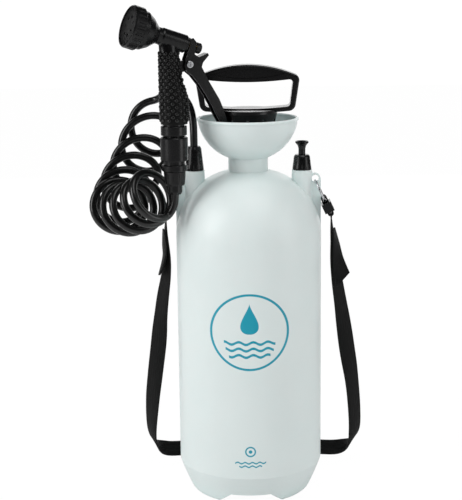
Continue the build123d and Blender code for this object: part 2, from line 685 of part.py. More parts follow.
knob = turned([(stem_r + running, knob_s - knob_length), (knob_r - 1.2, knob_s - knob_length),
               (knob_r, knob_s - knob_length + 1.2), (knob_r, knob_s - 0.6), (knob_r - 0.6, knob_s),
               (stem_r + running, knob_s)])
knob = fluted(knob, 14, knob_r + 0.5, 0.9, knob_s - knob_length - 1, knob_s + 1)
flow_knob = gun * muzzle * knob


# Turret: the turning head with the spray patterns
turret = turned([(turret_r - turret_wall, turret_s), (turret_r - 0.8, turret_s),
                 (turret_r, turret_s + 0.8), (turret_r, turret_s + turret_length - 1.6),
                 (turret_r - 1.2, turret_s + turret_length), (turret_r - turret_wall, turret_s + turret_length)])
turret += tube(turret_r - turret_wall + 1, 4.0, turret_s, turret_s + 2.4)
notch = rod(turret_notch_r, turret_s - 1, turret_s + turret_length - 3.2, turret_r + 0.7)
turret -= [Rot(0, 0, 360 * i / turret_notches) * notch for i in range(turret_notches)]
turret_head = gun * muzzle * turret
face_s = turret_s + turret_length - face_recess - face_thickness
face = rod(turret_r - turret_wall - 0.05, face_s, face_s + face_thickness)
face_hole = rod(face_hole_r, face_s - 1, face_s + face_thickness + 1, turret_r - turret_wall - 3)
face -= [Rot(0, 0, 360 * i / face_ring_holes) * face_hole for i in range(face_ring_holes)]
pattern_r = 11.0
for i in range(7):
    place = Rot(0, 0, 360 * i / 7) * Pos(pattern_r, 0, face_s - 1)
    size = 2.0 + 0.35 * (i % 3)
    sides = 3 + i % 4
    face -= place * extrude(RegularPolygon(size, sides), face_thickness + 2)
nozzle_face = gun * muzzle * face
hub_screw = rod(3.9, turret_s + 0.2, face_s - 0.05) + rod(3.2, turret_s - 8, turret_s + 0.2)
turret_hub = gun * muzzle * (rod(3.2, neck_s + 8, turret_s + 2.4 + 0.3)
                             + rod(6.0, turret_s + 2.4 + 0.3, turret_s + 2.4 + 2.3)
                             + rod(bell_r - bell_wall - 0.02, bell_end_s - 3, bell_end_s)
                             - [Rot(0, 0, 60 * i) * rod(3.0, 0, 60, 12) for i in range(6)])

# Quick connector
connector_sleeve = turned([(connector_r + gap, sleeve_lip_z), (sleeve_r - 1.4, sleeve_lip_z),
                           (sleeve_r - 1.4, sleeve_bottom_z), (sleeve_r - 0.6, sleeve_bottom_z),
                           (sleeve_r, sleeve_bottom_z + 1), (sleeve_r, sleeve_top_z - 1.2),
                           (sleeve_r - 1.2, sleeve_top_z), (connector_r + gap, sleeve_top_z)], inlet_u)
connector_body = turned([(inlet_thread_r + 0.02, connector_bottom_z + 16),
                         (waterway_r, connector_bottom_z + 14), (waterway_r, connector_bottom_z - tail_thread_length),
                         (tail_thread_r, connector_bottom_z - tail_thread_length),
                         (tail_thread_r, connector_bottom_z), (connector_ring_r - 0.8, connector_bottom_z),
                         (connector_ring_r, connector_bottom_z + 0.8),
                         (connector_ring_r, connector_ring_top_z - 0.8),
                         (connector_ring_r - 0.8, connector_ring_top_z), (connector_r - 1, connector_ring_top_z),
                         (connector_r - 1, connector_seat_z - 2), (sleeve_r - 1.4 - gap, connector_seat_z - 2 + 0.4),
                         (sleeve_r - 1.4 - gap, connector_seat_z), (connector_r, connector_seat_z),
                         (connector_r, connector_top_z), (inlet_thread_r + 0.02, connector_top_z)], inlet_u)
connector_spring_r = (connector_r + sleeve_r - 1.4) / 2
connector_spring = spring(connector_spring_r, connector_spring_wire, connector_spring_turns,
                          connector_seat_z + 0.02, sleeve_lip_z - 0.02, inlet_u)
inlet_gasket = tube(inlet_thread_r - 0.4, waterway_r + 0.3,
                    collar_z - inlet_thread_length - 2.0, collar_z - inlet_thread_length, inlet_u)

tail_bottom_z = connector_bottom_z - tail_thread_length
hose_nut = turned([(tail_thread_r + 0.02, tail_bottom_z - 0.3), (ferrule_r + 0.05, tail_bottom_z - 1.0),
                   (ferrule_r + 0.05, hose_nut_bottom_z), (hose_nut_bottom_r - 1, hose_nut_bottom_z),
                   (hose_nut_bottom_r, hose_nut_bottom_z + 2), (hose_nut_r, connector_bottom_z - 0.8),
                   (hose_nut_r - 0.6, connector_bottom_z - 0.2), (tail_thread_r + 0.02, connector_bottom_z - 0.2)],
                  inlet_u)
hose_nut = fluted(hose_nut, hose_nut_ribs, hose_nut_r + 1.0, 1.8, hose_nut_bottom_z - 1,
                  connector_bottom_z - 3, inlet_u)
hose_ferrule = turned([(hose_r - 1, ferrule_bottom_z), (ferrule_r - 1.6, ferrule_bottom_z),
                       (ferrule_r, ferrule_bottom_z + 3), (ferrule_r, tail_bottom_z - 0.05),
                       (hose_r - 1, tail_bottom_z - 0.05)], inlet_u)

quick_connector = {"connector_sleeve": connector_sleeve, "connector_body": connector_body,
                   "connector_spring": connector_spring, "inlet_gasket": inlet_gasket,
                   "hose_nut": hose_nut, "hose_ferrule": hose_ferrule}
quick_connector = {name: gun * solid for name, solid in quick_connector.items()}

# Hose route, chosen by hand along the line that the hose takes
hose_exit = (-boss_x, 0.0, nipple_top_z)
coil_points = [(-128.5, -54.2, 377.7), (-143.4, -38.6, 367.1), (-157.2, -12.2, 363.5),
               (-158.8, 17.9, 374.1), (-150.8, 40.9, 394.9), (-139.6, 55.3, 421.1),
               (-130.0, 62.5, 447.0)]
coil_points = [(x, y, z + route_z) for x, y, z in coil_points]
coil_front = Vector(*coil_points[0])
coil_axis = (Vector(*coil_points[1]) - coil_front).normalized()
coil_back = Vector(*coil_points[-1])
back_axis = (coil_back - Vector(*coil_points[-2])).normalized()

# The riser goes up from the outlet, over in an arch, and down into the coil's upper end
back_up = (Vector(0, 0, 1) - back_axis * back_axis.Z).normalized()
riser_end = coil_back + back_up * (coil_r - hose_r)
riser_points = [hose_exit, (-boss_x, 0.0, 449.0 + route_z), (-71.0, 2.0, 476.0 + route_z),
                (-83.0, 9.0, 498.0 + route_z), (-104.0, 24.0, 508.0 + route_z),
                (-125.0, 42.0, 505.0 + route_z), tuple(riser_end + back_axis * 20), tuple(riser_end)]

# The first loop hangs from the ferrule, goes round in front of the coil and into its lower end
ring_up = (Vector(0, 0, 1) - coil_axis * coil_axis.Z).normalized()
ring_right = coil_axis.cross(ring_up)
ferrule_end = (gun * Pos(inlet_u, 0, ferrule_bottom_z)).position
tail_points = [tuple(ferrule_end), tuple(ferrule_end - Vector(0, 0, 12))]
for angle, ahead in ((-48, 28), (-90, 27), (-132, 25), (-174, 21), (-216, 14), (-256, 5)):
    a = radians(angle)
    tail_points.append(tuple(coil_front - coil_axis * ahead
                             + (ring_right * cos(a) + ring_up * sin(a)) * ring_turn_r))


def bends(points):
    """Radius of the arc at each corner of a route: as large as its two runs allow."""
    radii = []
    for a, b, c in zip(points, points[1:], points[2:]):
        first = Vector(*b) - Vector(*a)
        second = Vector(*c) - Vector(*b)
        half_turn = radians(first.get_angle(second)) / 2
        radii.append(0.45 * min(first.length, second.length) / tan(half_turn))
    return radii


def hose(points, r):
    """Straight runs joined by tangent arcs, as a closed tube of one radius."""
    radii = bends(points)
    path = FilletPolyline(*points, radius=radii)
    solid = sweep(Plane(path @ 0, z_dir=path % 0) * Circle(r), path=path)
    print("bends", [round(v, 1) for v in radii], "length", round(path.length, 1),
          "volume over section times length", round(solid.volume / (pi * r**2 * path.length), 4))
    return solid


hose_riser = hose(riser_points, hose_r)
hose_coil = hose(coil_points, coil_r) - hose(coil_points, coil_r - coil_wall)
hose_tail = hose(tail_points, hose_r)

# Carrying strap: webbing between two steel rings in the ears
ring_hole_z = ear_hole_z - (ear_hole_r - ring_wire_r - ring_slack)
ring_tilt = 25.0          # rings lean outwards to clear the edge of the ear


def ring_place(side):
    """Where a ring hangs: through its hole and out past the edge of the ear."""
    return Pos(side * ear_hole_x, 0, ring_hole_z) * Rot(0, -side * ring_tilt, 0)


def make_ring(side):
    return ring_place(side) * Pos(0, 0, -ring_r) * Rot(0, 90, 0) * Torus(ring_r, ring_wire_r)


strap_rings = make_ring(-1) + make_ring(1)
loop_in = ring_wire_r + webbing_slack
loop_out = loop_in + strap_thickness
loop_length = 19.0
webbing_half_width = strap_width / 2 - 1
loop_top = sqrt(ring_r**2 - webbing_half_width**2) + ring_r   # the webbing's edges rest on the ring


def strap_loop(side):
    """End of the webbing, taken round the lower side of a ring."""
    outer = SlotCenterToCenter(loop_length, 2 * loop_out)
    inner = SlotCenterToCenter(loop_length, 2 * loop_in)
    band = extrude(Plane.XZ * Rot(0, 0, 90) * (outer - inner), webbing_half_width, both=True)
    return ring_place(side) * Pos(0, 0, -loop_top - loop_length / 2) * band


# Stations down the webbing: place of its centre, and the direction of its width
right_run = [
    ((103.5, 0.5, 333.0), (0.25, 1, 0)),
    ((112.0, 4.0, 300.0), (0.9, 0.7, 0)),
    ((119.5, 9.0, 262.0), (1, 0.25, 0)),
    ((121.0, 15.0, 222.0), (1, -0.05, 0)),
    ((127.0, 24.0, 176.0), (1, 0.05, 0)),
    ((132.0, 36.0, 128.0), (1, 0.2, 0)),
    ((134.5, 50.0, 82.0), (0.9, 0.5, 0)),
    ((131.0, 66.0, 44.0), (0.4, 0.9, 0.1)),
    ((118.0, 82.0, 20.0), (-0.3, 0.8, 0.55)),
    ((96.0, 94.0, 13.0), (-0.1, 0.6, 0.8)),
]
back_run = [
    ((60.0, 103.0, 12.0), (0, 0.5, 0.87)),
    ((20.0, 107.0, 12.0), (0, 0.5, 0.87)),
    ((-20.0, 107.0, 12.0), (0, 0.5, 0.87)),
    ((-60.0, 103.0, 12.0), (0, 0.5, 0.87)),
]
left_run = [
    ((-95.0, 93.0, 14.0), (0.1, 0.6, 0.8)),
    ((-115.0, 80.0, 24.0), (0.3, 0.8, 0.55)),
    ((-126.0, 64.0, 50.0), (0.8, 0.6, 0.1)),
    ((-127.5, 48.0, 92.0), (1, 0.2, 0)),
    ((-123.5, 34.0, 138.0), (1, 0.1, 0)),
    ((-117.0, 24.0, 184.0), (1, 0.1, 0)),
    ((-113.0, 15.0, 226.0), (1, 0.1, 0)),
    ((-109.0, 8.0, 266.0), (0.9, -0.3, 0)),
    ((-105.0, 3.0, 303.0), (0.5, -0.9, 0)),
    ((-103.5, 0.5, 333.0), (0.25, -1, 0)),
]


strap_reach = tank_r / 90.0
strap_drop = straight_height / 330.0


def strap_end(side):
    """Place where the webbing leaves its loop, below the ring."""
    return (ring_place(side) * Pos(0, 0, -loop_top - loop_length - loop_in)).position


def make_webbing():
    """Flat webbing that twists as it hangs, from one ring round the back to the other."""
    top_right = strap_end(1)
    top_left = strap_end(-1)
    hanging = [((x * strap_reach, y * strap_reach, z * strap_drop), width)
               for (x, y, z), width in right_run + back_run + left_run]
    stations = ([((top_right.X, top_right.Y, top_right.Z), (0, 1, 0))] + hanging
                + [((top_left.X, top_left.Y, top_left.Z), (0, -1, 0))])
    places = [Vector(*p) for p, _ in stations]
    sections = []
    last_width = None
    for i, (_, width) in enumerate(stations):
        before = places[max(i - 1, 0)]
        after = places[min(i + 1, len(places) - 1)]
        along = (after - before).normalized()
        across = Vector(*width)
        across = (across - along * across.dot(along)).normalized()
        if last_width is not None and across.dot(last_width) < 0:
            across = across * -1
        last_width = across
        sections.append(Plane(origin=places[i], x_dir=across, z_dir=along)
                        * Rectangle(2 * webbing_half_width, strap_thickness))
    return loft(sections, ruled=True)


strap_webbing = make_webbing() + strap_loop(1) + strap_loop(-1)


def make_slider(side):
    """Slider that grips the two layers of webbing under a ring."""
    outer = Box(2 * (loop_out + gap + slider_wall), 2 * (webbing_half_width + gap + slider_wall),
                slider_height)
    inner = Box(2 * (loop_out + gap), 2 * (webbing_half_width + gap), slider_height + 2)
    return ring_place(side) * Pos(0, 0, -2 * ring_r - 8) * (outer - inner)


strap_sliders = make_slider(-1) + make_slider(1)

nodes = {
    "tank": tank,
    "outlet_gasket": outlet_gasket,
    "outlet_nipple": outlet_nipple,
    "outlet_nut": outlet_nut,
    "dip_tube": dip_tube,
    "dip_strainer": dip_strainer,
    "relief_nut": relief_nut,
    "relief_knob": relief_knob,
    "relief_seal": relief_seal,
    "relief_spring": relief_spring,
    "pump_barrel": pump_barrel,
    "pump_o_ring": pump_o_ring,
    "pump_cap": pump_cap,
    "rod_guide": rod_guide,
    "barrel_foot": barrel_foot,
    "foot_valve_flap": foot_valve_flap,
    "piston": piston,
    "piston_ring": piston_ring,
    "plunger_rod": plunger_rod,
    "pump_handle": pump_handle,
    "handle_pin": handle_pin,
    "gun_body": gun_body,
    "grip_sleeve": grip_sleeve,
    "trigger_lever": trigger_lever,
    "pivot_screw": pivot_screw,
    "pivot_nut": pivot_nut,
    "gland_nut": gland_nut,
    "valve_stem": valve_stem,
    "valve_washer": valve_washer,
    "valve_spring": valve_spring,
    "flow_knob": flow_knob,
    "turret_head": turret_head,
    "nozzle_face": nozzle_face,
    "turret_hub": turret_hub,
    **quick_connector,
    "hose_riser": hose_riser,
    "hose_coil": hose_coil,
    "hose_tail": hose_tail,
    "strap_rings": strap_rings,
    "strap_webbing": strap_webbing,
    "strap_sliders": strap_sliders,
}

for name, solid in nodes.items():
    export_step(solid, f"parts/{name}.step")
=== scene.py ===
"""Looks of the camping shower: a milky pressure tank with a pump in its funnel, a coiled hose with a
spray gun hooked on the funnel's rim, and a webbing strap. Metres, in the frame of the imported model."""

from math import cos, pi, radians, sin, tan

import bmesh
import bpy
from mathutils import Matrix, Vector


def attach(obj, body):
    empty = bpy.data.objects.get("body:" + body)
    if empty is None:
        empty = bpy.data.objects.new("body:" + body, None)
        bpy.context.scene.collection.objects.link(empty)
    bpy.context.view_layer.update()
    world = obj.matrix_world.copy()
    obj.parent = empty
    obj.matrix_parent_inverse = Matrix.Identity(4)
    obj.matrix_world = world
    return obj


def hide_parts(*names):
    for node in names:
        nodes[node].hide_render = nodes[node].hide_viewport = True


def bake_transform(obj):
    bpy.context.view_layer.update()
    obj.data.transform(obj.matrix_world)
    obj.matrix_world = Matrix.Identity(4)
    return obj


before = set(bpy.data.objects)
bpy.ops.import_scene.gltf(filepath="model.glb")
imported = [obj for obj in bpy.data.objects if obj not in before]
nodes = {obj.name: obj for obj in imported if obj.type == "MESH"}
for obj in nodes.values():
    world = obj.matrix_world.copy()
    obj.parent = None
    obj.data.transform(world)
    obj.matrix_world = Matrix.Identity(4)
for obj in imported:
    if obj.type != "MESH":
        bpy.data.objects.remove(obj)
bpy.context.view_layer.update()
scene = bpy.context.scene

# Camera. The photograph was taken from in front, 1.6 m from the tank's axis and 12 degrees above
# level, with the tank a little right of the middle.
lens_mm = 102.1
camera_data = bpy.data.cameras.new("camera")
camera_data.lens = lens_mm
camera_data.sensor_width = 36.0
camera_data.sensor_fit = "HORIZONTAL"
camera_data.shift_x = -0.0335
camera = bpy.data.objects.new("camera", camera_data)
scene.collection.objects.link(camera)
camera_pitch = radians(12.0)
camera_height = 0.308 + 1.6 * tan(camera_pitch)
camera.location = (0.0, -1.6, camera_height)
camera.rotation_euler = (pi / 2 - camera_pitch, radians(0.5), 0.0)
scene.camera = camera


# Hose, black rubber tube of 9.5 mm, wound as a curly lead of nine turns between the outlet on the
# tank and the ferrule under the gun. One smooth line from end to end, then a tube along it.
class Level:
    """A shader socket that carries a number, with arithmetic that adds Math nodes."""

    def __init__(self, finish, socket):
        self.finish = finish
        self.socket = socket

    def math(self, operation, *others, clamp=False):
        return self.finish.level("ShaderNodeMath", {"operation": operation, "use_clamp": clamp},
                                 [self, *others])

    def __add__(self, other):
        return self.math("ADD", other)

    __radd__ = __add__

    def __mul__(self, other):
        return self.math("MULTIPLY", other)

    __rmul__ = __mul__

    def __sub__(self, other):
        return self.math("SUBTRACT", other)

    def __rsub__(self, other):
        return self.finish.level("ShaderNodeMath", {"operation": "SUBTRACT"}, [other, self])

    def __truediv__(self, other):
        return self.math("DIVIDE", other)

    def __abs__(self):
        return self.math("ABSOLUTE")

    def __neg__(self):
        return self * -1.0

    def __or__(self, other):
        return self.math("MAXIMUM", other)

    def __and__(self, other):
        return self.math("MINIMUM", other)

    def inside(self, width, soft):
        """1 where the value is below width, 0 above it, with a soft edge."""
        return ((width - self) / soft + 0.5).math("MINIMUM", 1.0).math("MAXIMUM", 0.0)


class Finish:
    """One material: a Principled shader and the nodes that vary it over the surface."""

    def __init__(self, name, colour, roughness, metallic=0.0, coat=0.0, specular=0.5):
        self.material = bpy.data.materials.new(name)
        self.material.use_nodes = True
        self.tree = self.material.node_tree
        self.shader = self.tree.nodes["Principled BSDF"]
        self.shader.inputs["Base Color"].default_value = (*colour, 1.0)
        self.shader.inputs["Roughness"].default_value = roughness
        self.shader.inputs["Metallic"].default_value = metallic
        self.shader.inputs["Coat Weight"].default_value = coat
        self.shader.inputs["Specular IOR Level"].default_value = specular
        self.material.diffuse_color = (*colour, 1.0)

    def node(self, kind, settings=None, inputs=None):
        """A node of a type, its settings set first and then the values or links of its sockets."""
        made = self.tree.nodes.new(kind)
        for key, value in (settings or {}).items():
            if key == "stops":
                ramp = made.color_ramp
                for i, (place, colour) in enumerate(value):
                    stop = ramp.elements[i] if i < 2 else ramp.elements.new(place)
                    stop.position = place
                    stop.color = (*colour, 1.0)
            else:
                setattr(made, key, value)
        pairs = inputs.items() if isinstance(inputs, dict) else enumerate(inputs or [])
        for key, value in pairs:
            if isinstance(value, Level):
                value = value.socket
            if isinstance(value, bpy.types.NodeSocket):
                self.tree.links.new(value, made.inputs[key])
            else:
                made.inputs[key].default_value = value
        return made

    def level(self, kind, settings=None, inputs=None, output=0):
        return Level(self, self.node(kind, settings, inputs).outputs[output])

    def place(self, turn=(0.0, 0.0, 0.0), centre=(0.0, 0.0, 0.0), size=(1.0, 1.0, 1.0)):
        """Object coordinates, moved to a centre and turned, as three levels."""
        where = self.node("ShaderNodeTexCoord").outputs["Object"]
        moved = self.node("ShaderNodeVectorMath", {"operation": "SUBTRACT"}, [where, centre])
        turned = self.node("ShaderNodeMapping", {"vector_type": "POINT"},
                           {"Vector": moved.outputs[0], "Rotation": turn, "Scale": size})
        parts = self.node("ShaderNodeSeparateXYZ", {}, [turned.outputs[0]])
        return [Level(self, socket) for socket in parts.outputs]

    def noise(self, scale, detail=3.0, stretch=(1.0, 1.0, 1.0)):
        """Even noise from 0 to 1, of so many patches to the metre."""
        where = self.node("ShaderNodeTexCoord").outputs["Object"]
        spread = self.node("ShaderNodeMapping", {}, {"Vector": where, "Scale": stretch})
        return self.level("ShaderNodeTexNoise", {}, {"Vector": spread.outputs[0], "Scale": scale,
                                                     "Detail": detail})

    def mix(self, share, colour_a, colour_b):
        """Colour between two colours."""
        mixed = self.node("ShaderNodeMix", {"data_type": "RGBA"}, {
            0: share, 6: colour_a if isinstance(colour_a, bpy.types.NodeSocket) else (*colour_a, 1.0),
            7: colour_b if isinstance(colour_b, bpy.types.NodeSocket) else (*colour_b, 1.0)})
        return mixed.outputs[2]

    def colour(self, socket):
        self.tree.links.new(socket, self.shader.inputs["Base Color"])

    def rough(self, level):
        self.tree.links.new(level.socket, self.shader.inputs["Roughness"])

    def bump(self, height, depth, strength=1.0):
        """Relief of so many metres."""
        relief = self.node("ShaderNodeBump", {}, {"Strength": strength, "Distance": depth,
                                                  "Height": height})
        self.tree.links.new(relief.outputs[0], self.shader.inputs["Normal"])


hose_r = 0.00475
exit_point = Vector((-0.0662, 0.0, 0.4335))
gun_yaw = radians(25.0)
gun_place = Matrix.Translation((-0.0934, -0.0560, -0.0015)) @ Matrix.Rotation(gun_yaw, 4, "Z")
ferrule_point = gun_place @ Vector((0.0064, 0.0, 0.3900))
hose_loops = [  # middle, way that it faces, radius, and height over width
    ((-0.1150, 0.058, 0.4580), (0.05, -1.00, 0.06), 0.0335, 0.97),
    ((-0.1280, 0.044, 0.4363), (0.05, -1.00, 0.06), 0.0318, 0.90),
    ((-0.1384, 0.031, 0.4125), (0.05, -1.00, 0.06), 0.0312, 0.88),
    ((-0.1491, 0.019, 0.3926), (0.07, -0.99, 0.08), 0.0318, 0.90),
    ((-0.1583, 0.006, 0.3768), (0.14, -0.98, 0.12), 0.0308, 0.94),
    ((-0.1609, -0.008, 0.3666), (0.28, -0.94, 0.20), 0.0314, 0.96),
    ((-0.1498, -0.020, 0.3654), (0.42, -0.86, 0.30), 0.0304, 1.00),
    ((-0.1363, -0.032, 0.3689), (0.50, -0.80, 0.34), 0.0312, 0.98),
    ((-0.1242, -0.043, 0.3774), (0.58, -0.72, 0.40), 0.0302, 1.00),
    ((-0.1124, -0.054, 0.3880), (0.62, -0.65, 0.44), 0.0306, 1.00)]
loop_steps = 16
loop_start = 90.0
loop_end = 312.0 + 360.0 * 9


def smooth_line(name, points):
    """Curve of one NURBS spline whose control points are the route's points."""
    curve = bpy.data.curves.new(name, "CURVE")
    curve.dimensions = "3D"
    curve.resolution_u = 6
    spline = curve.splines.new("NURBS")
    spline.points.add(len(points) - 1)
    for place, point in zip(spline.points, points):
        place.co = (*point, 1.0)
    spline.order_u = 3
    spline.use_endpoint_u = True
    line = bpy.data.objects.new(name, curve)
    scene.collection.objects.link(line)
    return line


def line_points(line):
    """The places along a curve with no bevel."""
    mesh = bpy.data.meshes.new_from_object(line)
    points = [v.co.copy() for v in mesh.vertices]
    bpy.data.meshes.remove(mesh)
    return points


def eased(rows, at):
    """Values between two rows of a list, on smooth curves through all of them."""
    at = min(max(at, 0.0), len(rows) - 1.0)
    i = min(int(at), len(rows) - 2)
    t = at - i
    picks = [rows[min(max(i + k, 0), len(rows) - 1)] for k in (-1, 0, 1, 2)]
    shares = [0.5 * w for w in (2 * t**2 - t - t**3, 2 - 5 * t**2 + 3 * t**3, t + 4 * t**2 - 3 * t**3,
                                t**3 - t**2)]
    return [sum((pick[k] * share for pick, share in zip(picks[1:], shares[1:])), picks[0][k] * shares[0])
            for k in range(len(rows[0]))]


loop_rows = [(Vector(c), Vector(n).normalized(), r, flat) for c, n, r, flat in hose_loops]
turn_points = []
for k in range(int((loop_end - loop_start) / 360.0 * loop_steps) + 1):
    turned = k / loop_steps
    centre, facing, radius, flat = eased(loop_rows, turned - 0.25)
    facing = facing.normalized()
    up = (Vector((0, 0, 1)) - facing * facing.z).normalized()
    right = up.cross(facing)
    angle = radians(loop_start + 360.0 * turned)
    turn_points.append(centre + (right * cos(angle) + up * (sin(angle) * flat)) * radius)

riser = [exit_point, Vector((-0.0662, 0.0, 0.4490)), Vector((-0.0668, 0.002, 0.4690)),
         Vector((-0.0700, 0.007, 0.4860)), Vector((-0.0790, 0.014, 0.4990)),
         Vector((-0.0900, 0.024, 0.5040)), Vector((-0.1000, 0.038, 0.5020)), Vector((-0.1080, 0.052, 0.4960))]
hose_route = riser + turn_points + [ferrule_point - Vector((0, 0, 0.012)), ferrule_point]
hose_line = smooth_line("hose_line", hose_route)
hose_path = line_points(hose_line)
hose_line.data.bevel_depth = hose_r
hose_line.data.bevel_resolution = 4
hose_mesh = bpy.data.meshes.new_from_object(hose_line)
bpy.data.objects.remove(hose_line)
hose = bpy.data.objects.new("hose", hose_mesh)
scene.collection.objects.link(hose)
hose_mesh.polygons.foreach_set("use_smooth", [True] * len(hose_mesh.polygons))

hose_finish = Finish("hose_rubber", (0.003, 0.003, 0.003), 0.26, coat=0.3, specular=0.4)
hose_finish.rough(hose_finish.noise(140.0) * 0.16 + 0.22)
hose_finish.bump(hose_finish.noise(900.0, 2.0), 0.00008)
hose_mesh.materials.clear()
hose_mesh.materials.append(hose_finish.material)
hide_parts("hose_riser", "hose_coil", "hose_tail")
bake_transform(hose)

# Tank, blow moulded in milky polythene, one piece with its funnel, bosses and ears. A round badge
# and a small mark are printed on its front in teal.
milky = Finish("milky_polythene", (0.74, 0.84, 0.82), 0.38, specular=0.45)
milky.shader.inputs["Subsurface Weight"].default_value = 0.25
milky.shader.inputs["Subsurface Radius"].default_value = (0.6, 0.8, 0.8)
milky.shader.inputs["Subsurface Scale"].default_value = 0.012
x, y, z = milky.place()
print_soft = 0.0004
front = (y + 0.02).inside(0.0, 0.004)
badge_z = z - 0.2258
badge_r = (x * x + badge_z * badge_z).math("SQRT")
badge = abs(badge_r - 0.0462).inside(0.0014, print_soft)
drop_t = (z - 0.2425) / 0.019
drop_w = (1.0 - drop_t * drop_t).math("MAXIMUM", 0.0).math("SQRT") * (1.0 - drop_t) * 0.0085
badge = badge | (abs(x) - drop_w).inside(0.0, print_soft) * abs(drop_t).inside(0.99, 0.01)
for wave_z, half in ((0.2125, 0.031), (0.2045, 0.029), (0.1965, 0.025)):
    wave = z - wave_z - (x * 360.0).math("SINE") * 0.0016
    badge = badge | abs(wave).inside(0.0016, print_soft) * abs(x).inside(half, print_soft)
mark_r = (x * x + (z - 0.0755) * (z - 0.0755)).math("SQRT")
badge = badge | abs(mark_r - 0.0058).inside(0.0009, print_soft) | mark_r.inside(0.0022, print_soft)
for wave_z, half in ((0.0610, 0.019), (0.0565, 0.014)):
    wave = z - wave_z - (x * 700.0).math("SINE") * 0.0009
    badge = badge | abs(wave).inside(0.0009, print_soft) * abs(x).inside(half, print_soft)
badge = badge * front
cloudy = milky.mix(milky.noise(16.0, 4.0), (0.73, 0.835, 0.825), (0.78, 0.875, 0.865))
milky.colour(milky.mix(badge, cloudy, (0.0000, 0.320, 0.440)))
milky.rough(milky.noise(60.0) * 0.10 + 0.30 - badge * 0.06)
seam = abs(y).inside(0.0005, 0.0006)
milky.bump(milky.noise(170.0, 2.0) * 0.25 + seam * 0.7 + badge * 0.06, 0.0003)
nodes["tank"].data.materials.clear()
nodes["tank"].data.materials.append(milky.material)

# Black polypropylene mouldings: nuts, pump, handle, gun and connector. Satin, with a fine spark
# grain from the mould and slightly polished high spots.
moulded = Finish("black_moulding", (0.002, 0.002, 0.002), 0.26, specular=0.35)
worn = moulded.noise(28.0, 4.0)
moulded.colour(moulded.mix(worn, (0.002, 0.002, 0.0022), (0.005, 0.005, 0.0055)))
moulded.rough(worn * 0.12 + moulded.noise(420.0) * 0.08 + 0.16)
moulded.bump(moulded.noise(1500.0, 2.0), 0.00005)
for name in ("outlet_nut", "relief_nut", "pump_handle", "pump_cap", "pump_barrel", "rod_guide",
             "barrel_foot", "piston", "plunger_rod", "gun_body", "trigger_lever", "gland_nut",
             "flow_knob", "turret_head", "turret_hub", "connector_body", "connector_sleeve", "hose_nut",
             "hose_ferrule", "strap_sliders", "relief_knob", "outlet_nipple", "dip_tube", "dip_strainer"):
    nodes[name].data.materials.clear()
    nodes[name].data.materials.append(moulded.material)

# Rubber grip and seals: matt black, softer looking than the mouldings, with rows of raised dots on
# the grip.
soft_black = Finish("grip_rubber", (0.003, 0.003, 0.003), 0.5, specular=0.15)
soft_black.colour(soft_black.mix(soft_black.noise(60.0), (0.003, 0.003, 0.003), (0.006, 0.006, 0.006)))
soft_black.bump(soft_black.noise(1200.0), 0.0001)
nodes["grip_sleeve"].data.materials.clear()
nodes["grip_sleeve"].data.materials.append(soft_black.material)
grip_stations = [(0.4740, 0.0070, 0.0160, 0.0146), (0.4880, 0.0076, 0.0171, 0.0148),
                 (0.5030, 0.0072, 0.0168, 0.0144), (0.5210, 0.0046, 0.0143, 0.0130),
                 (0.5400, 0.0026, 0.0123, 0.0118), (0.5580, 0.0019, 0.0116, 0.0110)]
dot_r = 0.0026
dot_rise = 0.0016
dot_pitch = 0.0039
dot_plan = bmesh.new()
for row in range(21):
    height = 0.4790 + row * dot_pitch
    below = max(s for s in grip_stations if s[0] <= height)
    above = min(s for s in grip_stations if s[0] > height)
    share = (height - below[0]) / (above[0] - below[0])
    centre, half_u, half_v = [below[k] + (above[k] - below[k]) * share for k in (1, 2, 3)]
    for i in range(11):
        angle = 2 * pi * (i + 0.5 * (row % 2)) / 11
        normal = Vector((cos(angle) / half_u, sin(angle) / half_v, 0.0)).normalized()
        spot = Vector((centre + half_u * cos(angle), half_v * sin(angle), height))
        if spot.x > centre and abs(spot.y) < 0.0055 and height > 0.515:
            continue
        turn = normal.to_track_quat("Z", "Y").to_matrix().to_4x4()
        shape = Matrix.Translation(spot) @ turn @ Matrix.Diagonal((dot_r, dot_r, dot_rise, 1.0))
        bmesh.ops.create_uvsphere(dot_plan, u_segments=10, v_segments=6, radius=1.0,
                                  matrix=gun_place @ shape)
dot_mesh = bpy.data.meshes.new("grip_dots")
dot_plan.to_mesh(dot_mesh)
dot_plan.free()
dot_mesh.polygons.foreach_set("use_smooth", [True] * len(dot_mesh.polygons))
grip_dots = bpy.data.objects.new("grip_dots", dot_mesh)
scene.collection.objects.link(grip_dots)
shiny_black = Finish("grip_dot_rubber", (0.001, 0.001, 0.001), 0.14, specular=0.4)
shiny_black.rough(shiny_black.noise(300.0) * 0.12 + 0.16)
shiny_black.bump(shiny_black.noise(1500.0), 0.00004)
dot_mesh.materials.append(shiny_black.material)
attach(grip_dots, "gun")
seal_rubber = Finish("seal_rubber", (0.02, 0.02, 0.02), 0.55, specular=0.35)
seal_rubber.bump(seal_rubber.noise(700.0), 0.00006)
seal_rubber.rough(seal_rubber.noise(200.0) * 0.2 + 0.45)
for name in ("outlet_gasket", "relief_seal", "pump_o_ring", "piston_ring", "foot_valve_flap",
             "valve_washer", "inlet_gasket"):
    nodes[name].data.materials.clear()
    nodes[name].data.materials.append(seal_rubber.material)

